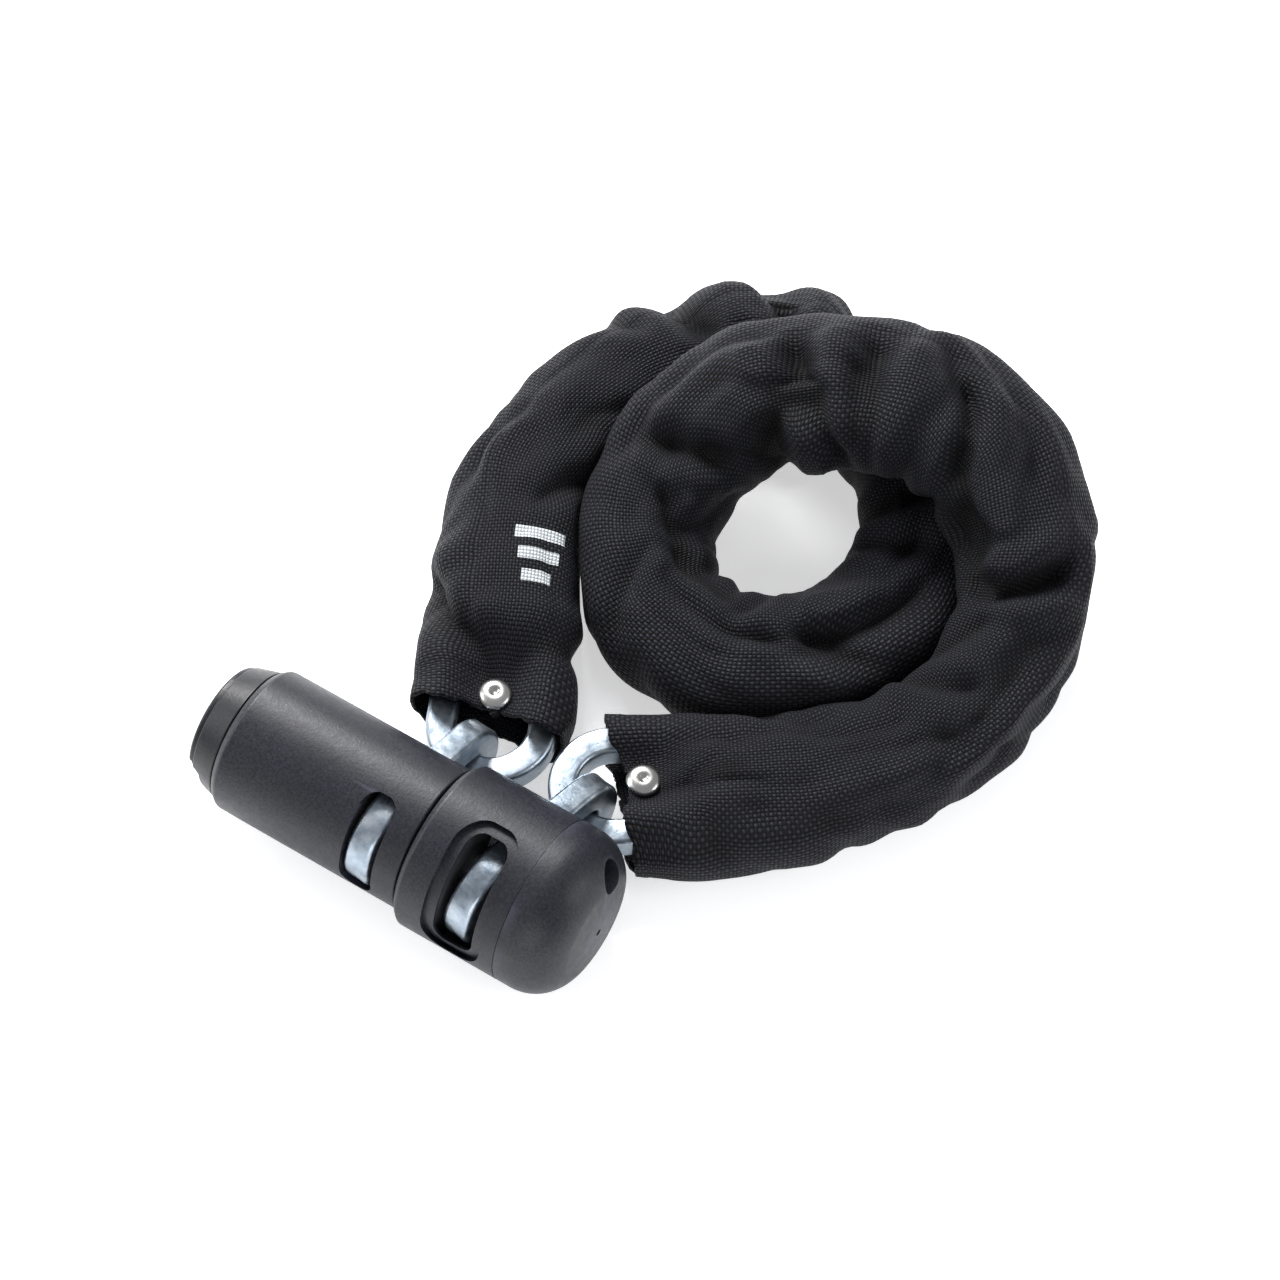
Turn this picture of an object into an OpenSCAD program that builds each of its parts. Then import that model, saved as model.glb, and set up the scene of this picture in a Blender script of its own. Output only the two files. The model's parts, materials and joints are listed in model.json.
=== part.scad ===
// Chain lock: a two-part barrel lock that closes on the end links of a square-link chain
// in a woven sleeve. Millimetres, +Z up. The barrel lies along X on the ground plane, the
// joint face between its housing and its head is at X = 0, and the chain coils behind it.

/* [Barrel] */
// Diameter of the sliding housing
housing_d = 42; // [41:0.5:43]
// Diameter of the head
head_d = 48; // [47:0.5:49]
// Length of the housing, from the joint face to the tail cap
housing_len = 61; // [61:0.5:66]
// Length of the head's straight part
head_len = 32; // [32:0.5:36]
// Length of the domed end cap
dome_len = 18; // [16:0.5:20]
// Length of the bevelled tail cap
tail_len = 7.5; // [6:0.5:10]
// Wall thickness of the housing's moulded cover
housing_wall = 2; // [1.8:0.1:2.2]
// Wall thickness of the head's moulded cover
head_wall = 2.5; // [2.2:0.1:2.8]
// Diameter of the locking bolt
bolt_d = 12.5; // [11:0.1:12.8]
// How far the housing pulls off the bolt
pull_off = 28.5; // [28:0.5:30]

/* [Chain] */
// Side of the square wire of the four end links
wire = 8; // [7.8:0.1:8]
// Side of the square wire of the links inside the sleeve
chain_wire = 6.4; // [6.2:0.1:6.4]
// Outer width of the two end links that the bolt passes through
end_link_w = 30; // [29.5:0.1:30]
// Outer length of the end link in the housing
end_link_len = 61; // [60:0.5:61.5]
// Outer length of the end link in the head, longer because the collar is wider
head_link_len = 64.5; // [61:0.5:65]
// Outer width of the flat links at the sleeve's mouths
mouth_link_w = 36; // [35:0.5:37]
// Outer length of the flat links at the sleeve's mouths
mouth_link_len = 52; // [51:0.5:53]
// Outer width of the links inside the sleeve
chain_link_w = 27; // [26:0.5:27]
// Outer length of the links inside the sleeve
chain_link_len = 41.4; // [41:0.1:41.5]

/* [Sleeve] */
// Half of the sleeve's width where it lies round the chain
sleeve_half_w = 17.5; // [17:0.25:17.5]
// Half of the sleeve's height where it lies round the chain
sleeve_half_h = 15.25; // [15:0.05:15.25]
// Thickness of the woven cloth
sleeve_wall = 1.1; // [0.8:0.1:1.1]

/* [Hidden] */
$fn = 48;
tiny = 0.01;
joint_gap = 1;
housing_r = housing_d / 2;
head_r = head_d / 2;
bolt_r = bolt_d / 2;
axis_z = head_r;
housing_core_r = housing_r - housing_wall - 0.1;
head_core_r = head_r - head_wall - 0.1;

// Tail end: the cover's bevel, the tail cap and the keyway's swinging cover
tail_seam_r = housing_r - 1.6;
tail_face_r = tail_seam_r - 2.2;
cover_bevel = 2;
tail_x = -housing_len - tail_len;
keyway_cover_t = 2;
keyway_cover_r = tail_face_r - 0.6;
cover_pin_z = 11.5;
cover_pin_r = 1.5;

// Lock cylinder, plug and pins
cylinder_r = 10.95;
cylinder_x0 = -57;
cylinder_x1 = -37;
plug_r = 6.5;
plug_x0 = -58.5;
neck_x0 = -36.8;
cam_x0 = -36;
cam_x1 = -34;
pin_xs = [-54, -50, -46, -42];
key_pin_lens = [3.2, 4.6, 3.8, 5];
pin_r = 1.42;
stop_pin_x = -47;

// Bolt, locking groove and the pawl that drops into it
bolt_x0 = -28;
bolt_x1 = 31;
groove_x = -23;
groove_w = 4;
groove_r = 4.25;
pawl_lift = 2.2;
pawl_half_w = 4.8;
pawl_top = 12;
pawl_back_x = -32;
drive_pin_r = 1.2;
bolt_pin_x = 28.6;
bolt_pin_r = 1.6;

// Screw that holds the end cap
screw_y = 10;
screw_z = 13;
screw_r = 1.9;
screw_x0 = 28.6;
screw_seat_x = head_len + 4;
screw_head_h = 3.5;

// Windows in the covers: centre along the axis, angle up from the front, width, length
window_a = [-13.3, 33, 10, 30.2];
window_b = [18.6, 42, 12, 33];
window_corner = 4;
recess_margin = 3.2;
recess_depth = 1.5;

// End links: where each one crosses the axis, its turn about Z, its tilt down to the back,
// how far its rear bow's centre lies from the axis, and its length
link_a = [-12.6, -3.6, 20, 25.5, end_link_len];
link_b = [20.6, -8, 17.9, 28.7, head_link_len];
channel_a_w = 10;
channel_b_w = 11;
channel_half = 16;

// Flat links at the sleeve's mouths: centre of the bow that holds the end link, direction
mouth_z = 15.3;
mouth_a = [-9.9, 39.9];
mouth_a_dir = 115;
mouth_b = [28.5, 41.8];
mouth_b_dir = 32;
rivet_reach = 8;
rivet_r = 2;
rivet_head_r = 4.75;

// The sleeve's centre line, from the mouth at the housing to the mouth at the head
route = [
    [-10.6, 41.4, 15.3], [-19.9, 61.3, 15.4], [-34, 87, 15.5], [-46, 116, 15.5], [-43, 147, 15.5],
    [-28, 174, 15.5], [-3, 189, 15.5], [26, 188, 15.5], [51, 173, 15.5], [64, 146, 15.5],
    [61, 117, 15.5], [45, 97.5, 15.5], [22, 91, 15.5], [0.8, 102, 16.5], [-9, 125, 24],
    [-1, 152, 39], [26, 168, 50.5], [54, 176, 51], [78, 170, 44.5], [96, 151, 34],
    [102, 124, 23.5], [95, 98, 16.8], [77, 75, 15.5], [52.5, 56.7, 15.4], [29.8, 42.6, 15.3]
];
steps = 6;

// Sleeve: its flat mouths, and how finely its rings are spaced
mouth_half_w = 22;
mouth_half_h = 8.2;
mouth_flat = 12;
ring_sides = 12;
ring_gap = 12;
// How far the sleeve's mouth lies past the centre of the flat link's bow
mouth_inset = 1.5;
// How far short of taut each link stands in its neighbour
link_slack = 3;
hinge_s = 150.6;

// ---- Route arithmetic: a curve through the points, measured by arc length ----

function curve_point(p, i, t) =
    let (a = i > 0 ? p[i - 1] : 2 * p[0] - p[1],
         b = p[i],
         c = p[i + 1],
         d = i + 2 < len(p) ? p[i + 2] : 2 * c - b)
    (2 * b + (c - a) * t + (2 * a - 5 * b + 4 * c - d) * t * t
        + (3 * b - a - 3 * c + d) * t * t * t) / 2;

fine = concat(
    [for (i = [0 : len(route) - 2], k = [0 : steps - 1]) curve_point(route, i, k / steps)],
    [route[len(route) - 1]]
);
function running(i, sum, out) =
    i >= len(fine) ? out
    : let (s = sum + norm(fine[i] - fine[i - 1])) running(i + 1, s, concat(out, [s]));
lengths = running(1, 0, [0]);
route_len = lengths[len(lengths) - 1];

function span_of(s, lo, hi) =
    hi - lo <= 1 ? lo
    : let (mid = floor((lo + hi) / 2)) lengths[mid] <= s ? span_of(s, mid, hi) : span_of(s, lo, mid);
function at(s) =
    let (q = min(max(s, 0), route_len), i = span_of(q, 0, len(fine) - 1),
         t = (q - lengths[i]) / (lengths[i + 1] - lengths[i]))
    fine[i] * (1 - t) + fine[i + 1] * t;
function unit(v) = v / norm(v);
function heading(s, reach = 4) = unit(at(min(s + reach, route_len)) - at(max(s - reach, 0)));
function side_of(t) = unit(cross([0, 0, 1], t));
function ease(x) = let (t = min(max(x, 0), 1)) t * t * (3 - 2 * t);

// Where the strand swings out, and how far it swings while the housing comes off
hinge_gap = 2.4;
swing = 2 * asin(pull_off / 2 / (at(hinge_s)[1] - mouth_a[1]));
hinge_slope = sleeve_half_w * tan(swing) + 0.4;

// ---- The links inside the sleeve ----

first_link_s = mouth_link_len - mouth_link_w / 2 - wire - chain_wire + chain_link_len / 2 - 1 - mouth_inset;
link_count = round((route_len - 2 * first_link_s) / (chain_link_len - 2 * chain_wire - link_slack)) + 1;
link_pitch = (route_len - 2 * first_link_s) / (link_count - 1);
strand_links = round((hinge_s - first_link_s) / link_pitch + 0.5);
function link_s(i) = first_link_s + (i - 1) * link_pitch;
function link_name(i) = str("chain_link_", i < 10 ? "0" : "", i);

// Every other link stands across its neighbours. The first stands upright in the flat
// mouth, and the rest settle on their corners.
function link_roll(i) =
    let (from_mouth = min(i, link_count + 1 - i))
    90 * (i % 2) + 45 * ease((from_mouth - 1) / 3);

// ---- Shared shapes ----

module on_axis(x = 0) {
    translate([x, 0, axis_z]) rotate([0, 90, 0]) children();
}

module rounded_rect(w, l, r) {
    square([w - 2 * r, l], center = true);
    square([w, l - 2 * r], center = true);
    for (x = [-1, 1], y = [-1, 1]) {
        translate([x * (w / 2 - r), y * (l / 2 - r)]) circle(r = r);
    }
}

module wire_section(side) {
    edge = 1.3;
    difference() {
        square(side, center = true);
        for (a = [0 : 90 : 270]) {
            rotate(a) translate([side / 2, side / 2]) rotate(45) square(edge * sqrt(2), center = true);
        }
    }
}

// A link lies flat in its XY plane with its long way along Y.
module link(w, l, side_w) {
    bend_r = (w - side_w) / 2;
    straight = l - w;
    for (end = [-1, 1]) {
        translate([0, end * straight / 2, 0]) rotate([0, 0, end > 0 ? 0 : 180]) {
            rotate_extrude(angle = 180) translate([bend_r, 0]) wire_section(side_w);
        }
    }
    for (side = [-1, 1]) {
        translate([side * bend_r, straight / 2, 0]) rotate([90, 0, 0]) {
            linear_extrude(straight) wire_section(side_w);
        }
    }
}

// The frame of an end link: X across the link, Y from the axis to the rear, Z up its width.
module end_link_frame(l) {
    translate([l[0], 0, axis_z]) rotate([0, 0, l[1]]) rotate([-l[2], 0, 0]) children();
}

module end_link(l) {
    centre_y = l[3] + end_link_w / 2 - l[4] / 2;
    end_link_frame(l) translate([0, centre_y, 0]) rotate([0, 90, 0]) link(end_link_w, l[4], wire);
}

module channel(l, w, front) {
    reach = head_r + 6;
    end_link_frame(l) {
        translate([-w / 2, -front * reach, -channel_half]) {
            cube([w, (1 + front) * reach, 2 * channel_half]);
        }
    }
}

module window_prism(win, grow = 0) {
    translate([win[0], 0, axis_z]) rotate([-win[1], 0, 0]) rotate([90, 0, 0]) {
        linear_extrude(head_r + 6) rounded_rect(win[2] + 2 * grow, win[3] + 2 * grow, window_corner + grow);
    }
}

// A helical spring from the origin up +Z.
module spring(r, wire_r, turns, h) {
    sides = 5;
    per_turn = 10;
    n = turns * per_turn;
    rings = [for (i = [0 : n], k = [0 : sides - 1])
        let (a = 360 * i / per_turn, b = 360 * k / sides, q = r + wire_r * cos(b))
        [q * cos(a), q * sin(a), wire_r + (h - 2 * wire_r) * i / n + wire_r * sin(b)]];
    walls = [for (i = [0 : n - 1], k = [0 : sides - 1])
        let (m = (k + 1) % sides)
        each [[i * sides + k, (i + 1) * sides + k, (i + 1) * sides + m],
              [i * sides + k, (i + 1) * sides + m, i * sides + m]]];
    ends = [[for (k = [0 : sides - 1]) k], [for (k = [sides - 1 : -1 : 0]) n * sides + k]];
    polyhedron(rings, concat(walls, ends));
}

// ---- Housing ----

module housing_cover() {
    inner_r = housing_r - housing_wall;
    color("#45454c") difference() {
        on_axis(-housing_len) {
            cylinder(h = cover_bevel, r1 = tail_seam_r, r2 = housing_r);
            translate([0, 0, cover_bevel]) cylinder(h = housing_len - cover_bevel - joint_gap, r = housing_r);
        }
        on_axis(cylinder_x0) cylinder(h = housing_len, r = inner_r);
        on_axis(-housing_len - 1) cylinder(h = housing_len, r = tail_face_r - 0.1);
        window_prism(window_a);
        channel(link_a, channel_a_w, 0);
    }
}

module housing_core() {
    pocket_x1 = groove_x + groove_w / 2 + 0.1;
    color("#8d9298") difference() {
        on_axis(cylinder_x0) cylinder(h = -cylinder_x0 - joint_gap - 0.2, r = housing_core_r);
        on_axis(bolt_x0 - 1) cylinder(h = 40, r = bolt_r + 0.06);
        on_axis(cylinder_x0 - 1) cylinder(h = cylinder_x1 - cylinder_x0 + 1, r = cylinder_r + 0.04);
        on_axis(cylinder_x1 - 1) cylinder(h = pawl_back_x - cylinder_x1 + 1, r = 8.8);
        translate([pawl_back_x - 0.3, -pawl_half_w - 0.2, axis_z - 3.6]) {
            cube([pocket_x1 - pawl_back_x + 0.3, 2 * pawl_half_w + 0.4, pawl_top + pawl_lift + 1.7]);
        }
        translate([(pawl_back_x + groove_x) / 2, 0, axis_z]) cylinder(h = 17, r = 2.8);
        window_prism(window_a);
        channel(link_a, channel_a_w, 1);
        translate([stop_pin_x, 0, axis_z]) rotate([90, 0, 0]) cylinder(h = housing_r, r = 1.5);
    }
}

module tail_cap() {
    notch_angle = 12;
    color("#3a3a41") difference() {
        union() {
            on_axis(tail_x) cylinder(h = tail_len, r1 = tail_face_r, r2 = tail_seam_r);
            on_axis(-housing_len - tiny) cylinder(h = cylinder_x0 + housing_len, r = tail_face_r - 0.2);
        }
        on_axis(tail_x - 1) cylinder(h = 20, r = 8);
        translate([0, 0, cover_pin_z]) on_axis(tail_x - 1) cylinder(h = 5, r = cover_pin_r + 0.05);
        translate([tail_x, 0, axis_z]) rotate([notch_angle, 0, 0]) translate([0, -tail_face_r - 1, 0]) {
            cylinder(h = 12, r = 2.6, center = true);
        }
    }
}

module keyway_cover() {
    rim = 0.7;
    color("#3d3d44") difference() {
        on_axis(tail_x - keyway_cover_t) {
            cylinder(h = rim, r1 = keyway_cover_r - rim, r2 = keyway_cover_r);
            translate([0, 0, rim]) cylinder(h = keyway_cover_t - rim - 0.1, r = keyway_cover_r);
        }
        translate([0, 0, cover_pin_z]) on_axis(tail_x - 5) cylinder(h = 6, r = cover_pin_r + 0.05);
    }
}

module keyway_cover_pin() {
    color("#2f2f34") translate([0, 0, cover_pin_z]) on_axis(tail_x - keyway_cover_t + 0.2) {
        cylinder(h = keyway_cover_t + 3.3, r = cover_pin_r);
    }
}

module lock_cylinder() {
    color("#b8a26a") difference() {
        on_axis(cylinder_x0) cylinder(h = cylinder_x1 - cylinder_x0, r = cylinder_r);
        on_axis(cylinder_x0 - 1) cylinder(h = 30, r = plug_r + 0.06);
        for (x = pin_xs) {
            translate([x, 0, axis_z]) cylinder(h = 10.2, r = pin_r + 0.08);
        }
        translate([stop_pin_x, -8.2, axis_z]) rotate([90, 0, 0]) cylinder(h = 8, r = 1.5);
    }
}

module cylinder_pin() {
    color("#9aa0a6") translate([stop_pin_x, -8.4, axis_z]) rotate([90, 0, 0]) {
        cylinder(h = housing_core_r - 8.8, r = 1.45);
    }
}

module key_plug() {
    slot_w = 2.6;
    slot_h = 7.6;
    color("#c9b478") difference() {
        on_axis(plug_x0) {
            cylinder(h = neck_x0 - plug_x0, r = plug_r);
            cylinder(h = cam_x0 - plug_x0, r = 5.5);
        }
        translate([plug_x0 - 1, -slot_w / 2, axis_z - slot_h / 2]) cube([19.5, slot_w, slot_h]);
        for (x = pin_xs) {
            translate([x, 0, axis_z]) cylinder(h = plug_r + 1, r = pin_r + 0.08);
        }
    }
}

module plug_ring() {
    color("#70757b") difference() {
        on_axis(neck_x0 + 0.05) cylinder(h = 0.7, r = 8.4);
        on_axis(neck_x0 - 1) cylinder(h = 5, r = 5.54);
        translate([neck_x0 - 1, -2.5, axis_z - 10]) cube([5, 5, 6]);
    }
}

// The cam turns with the plug. Its off-centre pin lifts the pawl.
module plug_cam() {
    color("#8a8f96") {
        on_axis(cam_x0 + 0.02) cylinder(h = cam_x1 - cam_x0, r = 7);
        translate([0, 0, pawl_lift]) on_axis(cam_x1 - tiny) cylinder(h = 4, r = drive_pin_r);
    }
}

module key_pins() {
    color("#d8c48a") for (i = [0 : len(pin_xs) - 1]) {
        translate([pin_xs[i], 0, axis_z + plug_r - 0.15 - key_pin_lens[i]]) {
            cylinder(h = key_pin_lens[i], r = pin_r);
        }
    }
}

module driver_pins() {
    color("#a8adb3") for (x = pin_xs) {
        translate([x, 0, axis_z + plug_r + 0.25]) cylinder(h = 1.3, r = pin_r);
    }
}

module pin_springs() {
    color("#7d8288") for (x = pin_xs) {
        translate([x, 0, axis_z + plug_r + 1.6]) spring(r = 1.05, wire_r = 0.2, turns = 2, h = 2);
    }
}

// The pawl stands lifted, clear of the bolt. Its tooth is over the bolt's groove, and the
// plug's drive pin runs in the slot of its tail.
module locking_pawl() {
    tooth_w = groove_w - 0.4;
    tail_t = 2.6;
    bridge_z = bolt_r + pawl_lift + 0.2;
    slot_low = pawl_lift - drive_pin_r - 0.1;
    slot_high = pawl_lift + drive_pin_r + 0.6;
    color("#9ba1a8") translate([0, 0, axis_z]) difference() {
        union() {
            translate([groove_x - tooth_w / 2, -pawl_half_w, groove_r + 0.15 + pawl_lift]) {
                cube([tooth_w, 2 * pawl_half_w, pawl_top - groove_r - 0.15 - pawl_lift]);
            }
            translate([pawl_back_x, -pawl_half_w, bridge_z]) {
                cube([groove_x + tooth_w / 2 - pawl_back_x, 2 * pawl_half_w, pawl_top - bridge_z]);
            }
            translate([pawl_back_x, -pawl_half_w, -1]) {
                cube([tail_t, 2 * pawl_half_w, pawl_top + 1]);
            }
        }
        translate([pawl_back_x - 1, -3.8, slot_low]) cube([tail_t + 2, 7.6, slot_high - slot_low]);
    }
}

module pawl_spring() {
    color("#7d8288") translate([(pawl_back_x + groove_x) / 2, 0, axis_z + pawl_top + 0.05]) {
        spring(r = 2.1, wire_r = 0.35, turns = 4, h = 17 - pawl_top - 0.1);
    }
}

// ---- Head ----

module head_cover() {
    edge = 1.5;
    color("#45454c") difference() {
        on_axis() {
            cylinder(h = edge, r1 = head_r - edge, r2 = head_r);
            translate([0, 0, edge]) cylinder(h = head_len - edge, r = head_r);
        }
        on_axis(-1) cylinder(h = head_len + 2, r = head_r - head_wall);
        window_prism(window_b);
        channel(link_b, channel_b_w, 0);
        intersection() {
            window_prism(window_b, recess_margin);
            difference() {
                on_axis(-1) cylinder(h = head_len + 2, r = head_r + 4);
                on_axis(-2) cylinder(h = head_len + 4, r = head_r - recess_depth);
            }
        }
    }
}

module head_core() {
    color("#8d9298") difference() {
        on_axis(0.2) cylinder(h = head_len - 0.25, r = head_core_r);
        on_axis(-1) cylinder(h = bolt_x1 + 1.1, r = bolt_r + 0.02);
        window_prism(window_b);
        channel(link_b, channel_b_w, 1);
        translate([bolt_pin_x, 0, axis_z - head_r]) cylinder(h = head_d, r = bolt_pin_r + 0.02);
        translate([0, screw_y, screw_z]) on_axis(screw_x0 - 0.4) cylinder(h = 10, r = screw_r + 0.02);
    }
}

module end_cap() {
    shoulder_r = 13;
    shoulder_z = dome_len - shoulder_r - 0.6;
    profile = concat(
        [[0, 0], [head_r, 0]],
        [for (a = [0 : 6 : 78]) [head_r - shoulder_r + shoulder_r * cos(a), shoulder_z + shoulder_r * sin(a)]],
        [[7, dome_len - 0.25], [0, dome_len]]
    );
    color("#404047") difference() {
        on_axis(head_len) rotate_extrude() polygon(profile);
        on_axis(head_len + dome_len - 6) cylinder(h = 8, r = 1);
        translate([0, screw_y, screw_z]) {
            on_axis(screw_seat_x) cylinder(h = dome_len, r = 4.3);
            on_axis(head_len - 1) cylinder(h = dome_len, r = screw_r + 0.1);
        }
    }
}

module cap_screw() {
    color("#6e7379") difference() {
        translate([0, screw_y, screw_z]) {
            on_axis(screw_x0) cylinder(h = screw_seat_x - screw_x0 + 1, r = screw_r);
            on_axis(screw_seat_x + 0.02) cylinder(h = screw_head_h, r = 3.4);
        }
        translate([0, screw_y, screw_z]) on_axis(screw_seat_x + 1.6) cylinder(h = 5, r = 1.7, $fn = 6);
    }
}

module bolt() {
    lead = 1.2;
    color("#b9c0c8") difference() {
        on_axis(bolt_x0) {
            cylinder(h = lead, r1 = bolt_r - lead, r2 = bolt_r);
            translate([0, 0, lead]) cylinder(h = bolt_x1 - bolt_x0 - lead, r = bolt_r);
        }
        on_axis(groove_x - groove_w / 2) difference() {
            cylinder(h = groove_w, r = bolt_r + 1);
            translate([0, 0, -1]) cylinder(h = groove_w + 2, r = groove_r);
        }
        translate([bolt_pin_x, 0, axis_z - head_r]) cylinder(h = head_d, r = bolt_pin_r + 0.02);
    }
}

module bolt_pin() {
    half = head_core_r - 1;
    color("#9aa0a6") translate([bolt_pin_x, 0, axis_z - half]) cylinder(h = 2 * half, r = bolt_pin_r);
}

// ---- Chain ----

module end_link_a() {
    color("#aeb9c6") end_link(link_a);
}

module end_link_b() {
    color("#aeb9c6") end_link(link_b);
}

// A flat link: its near bow's centre is at `at_xy`, and it runs off along `dir`.
module mouth_link(at_xy, dir) {
    straight = mouth_link_len - mouth_link_w;
    translate([at_xy[0], at_xy[1], mouth_z]) rotate([0, 0, dir - 90]) translate([0, straight / 2, 0]) {
        link(mouth_link_w, mouth_link_len, wire);
    }
}

module mouth_link_a() {
    color("#aeb9c6") mouth_link(mouth_a, mouth_a_dir);
}

module mouth_link_b() {
    color("#aeb9c6") mouth_link(mouth_b, mouth_b_dir);
}

module chain_link(i) {
    t = heading(link_s(i), chain_link_len / 3);
    p = (at(link_s(i) - chain_link_len / 3) + at(link_s(i) + chain_link_len / 3) + at(link_s(i))) / 3;
    color("#aeb9c6") translate(p) {
        multmatrix(frame_of(t)) rotate([0, link_roll(i), 0]) link(chain_link_w, chain_link_len, chain_wire);
    }
}

// Turns Y to `t`, X level and Z as near up as it can be.
function frame_of(t) =
    let (x = -side_of(t), z = cross(x, t))
    [[x[0], t[0], z[0], 0], [x[1], t[1], z[1], 0], [x[2], t[2], z[2], 0], [0, 0, 0, 1]];

// ---- Rivets through the sleeve's mouths, between the flat link's legs ----

module at_rivet(at_xy, dir) {
    translate([at_xy[0] + rivet_reach * cos(dir), at_xy[1] + rivet_reach * sin(dir), mouth_z]) children();
}

module rivet(at_xy, dir) {
    at_rivet(at_xy, dir) {
        translate([0, 0, -mouth_half_h - 0.8]) cylinder(h = 2 * mouth_half_h + 0.9, r = rivet_r);
        translate([0, 0, mouth_half_h + 0.05]) cylinder(h = 0.7, r = rivet_head_r);
        translate([0, 0, mouth_half_h + 0.75 - tiny]) cylinder(h = 0.8, r1 = rivet_head_r, r2 = 2.6);
    }
}

module rivet_burr(at_xy, dir) {
    at_rivet(at_xy, dir) difference() {
        translate([0, 0, -mouth_half_h - 1.05]) cylinder(h = 1, r = rivet_head_r);
        translate([0, 0, -mouth_half_h - 3]) cylinder(h = 5, r = rivet_r + 0.02);
    }
}

module rivet_a() {
    color("#d9d9dc") rivet(mouth_a, mouth_a_dir);
}

module rivet_a_burr() {
    color("#d9d9dc") rivet_burr(mouth_a, mouth_a_dir);
}

module rivet_b() {
    color("#d9d9dc") rivet(mouth_b, mouth_b_dir);
}

module rivet_b_burr() {
    color("#d9d9dc") rivet_burr(mouth_b, mouth_b_dir);
}

// ---- Sleeve: a hollow tube along the route, flat at both mouths ----

function flatness(s) = 1 - ease((min(s, route_len - s) - mouth_flat) / 13);
function ring(s, wall, skew) =
    let (f = flatness(s), t = heading(s), n = side_of(t), up = cross(t, n), c = at(s),
         w = sleeve_half_w + f * (mouth_half_w - sleeve_half_w) - wall,
         h = sleeve_half_h + f * (mouth_half_h - sleeve_half_h) - wall)
    [for (k = [0 : ring_sides - 1])
        let (a = 360 * (k + 0.5) / ring_sides,
             x = w * cos(a) / cos(180 / ring_sides), z = h * sin(a) / cos(180 / ring_sides))
        c + n * min(max(x, -w), w) + up * min(max(z, -h), h) + t * skew * x / w];

// `stations` are arc lengths with the slope of that ring's cut across the sleeve.
module tube(stations) {
    n = len(stations);
    m = ring_sides;
    outer = [for (st = stations) each ring(st[0], 0, st[1])];
    inner = [for (st = stations) each ring(st[0], sleeve_wall, st[1])];
    base = n * m;
    last = (n - 1) * m;
    walls = [for (i = [0 : n - 2], k = [0 : m - 1])
        let (a = i * m + k, b = i * m + (k + 1) % m, c = a + m, d = b + m)
        each [[a, c, d], [a, d, b], [base + a, base + d, base + c], [base + a, base + b, base + d]]];
    ends = [for (k = [0 : m - 1])
        let (b = (k + 1) % m)
        each [[k, b, base + b], [k, base + b, base + k],
              [last + k, base + last + b, last + b], [last + k, base + last + k, base + last + b]]];
    polyhedron(concat(outer, inner), concat(walls, ends));
}

function stations(s0, s1, slope0, slope1) =
    let (n = ceil((s1 - s0) / ring_gap))
    [for (i = [0 : n]) [s0 + (s1 - s0) * i / n, i == 0 ? slope0 : i == n ? slope1 : 0]];

module rivet_hole(at_xy, dir) {
    at_rivet(at_xy, dir) cylinder(h = 30, r = rivet_r + 0.05, center = true);
}

// The cut between the two tubes is a wedge, so the strand can swing out when the lock opens.
module sleeve_strand() {
    last = hinge_s - hinge_gap - hinge_slope / 2;
    color("#26252a") difference() {
        tube(concat([[0, 0]], stations(mouth_flat, last, 0, -hinge_slope / 2)));
        rivet_hole(mouth_a, mouth_a_dir);
    }
}

module sleeve_coil() {
    first = hinge_s + hinge_slope / 2;
    color("#26252a") difference() {
        tube(concat(stations(first, route_len - mouth_flat, hinge_slope / 2, 0), [[route_len, 0]]));
        rivet_hole(mouth_b, mouth_b_dir);
    }
}

housing_cover();
housing_core();
tail_cap();
keyway_cover();
keyway_cover_pin();
lock_cylinder();
cylinder_pin();
key_plug();
plug_ring();
plug_cam();
key_pins();
driver_pins();
pin_springs();
locking_pawl();
pawl_spring();
head_cover();
head_core();
end_cap();
cap_screw();
bolt();
bolt_pin();
end_link_a();
end_link_b();
mouth_link_a();
mouth_link_b();
rivet_a();
rivet_a_burr();
rivet_b();
rivet_b_burr();
sleeve_strand();
sleeve_coil();
for (i = [1 : link_count]) {
    chain_link(i);
}
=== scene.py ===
"""Looks for the chain lock: woven sleeve, plated links, moulded barrel, studio. Metres; route in mm."""
import json
import math
import random

import bmesh
import bpy
import numpy as np
from mathutils import Matrix, Vector, noise


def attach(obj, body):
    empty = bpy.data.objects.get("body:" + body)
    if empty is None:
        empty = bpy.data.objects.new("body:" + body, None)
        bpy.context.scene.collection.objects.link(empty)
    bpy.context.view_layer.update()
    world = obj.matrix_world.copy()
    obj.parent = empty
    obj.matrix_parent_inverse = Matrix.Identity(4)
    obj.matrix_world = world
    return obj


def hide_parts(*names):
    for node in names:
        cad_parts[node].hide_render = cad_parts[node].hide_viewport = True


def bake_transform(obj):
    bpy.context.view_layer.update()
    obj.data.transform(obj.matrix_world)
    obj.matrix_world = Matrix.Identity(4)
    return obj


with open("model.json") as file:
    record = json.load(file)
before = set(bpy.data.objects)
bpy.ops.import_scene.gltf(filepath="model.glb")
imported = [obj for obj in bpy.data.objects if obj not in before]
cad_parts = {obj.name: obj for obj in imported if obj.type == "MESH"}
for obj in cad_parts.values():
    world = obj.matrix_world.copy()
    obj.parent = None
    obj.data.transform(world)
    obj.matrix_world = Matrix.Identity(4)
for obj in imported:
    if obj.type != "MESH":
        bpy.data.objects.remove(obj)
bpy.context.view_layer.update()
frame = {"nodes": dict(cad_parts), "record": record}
MM = 0.001
AXIS_Z = 24.0
ROOT = "head"
CAMERA_AZIMUTH, CAMERA_ELEVATION = 32, 60
CAMERA_PLACE = (0.3118, -0.3984, 1.0037)
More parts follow.
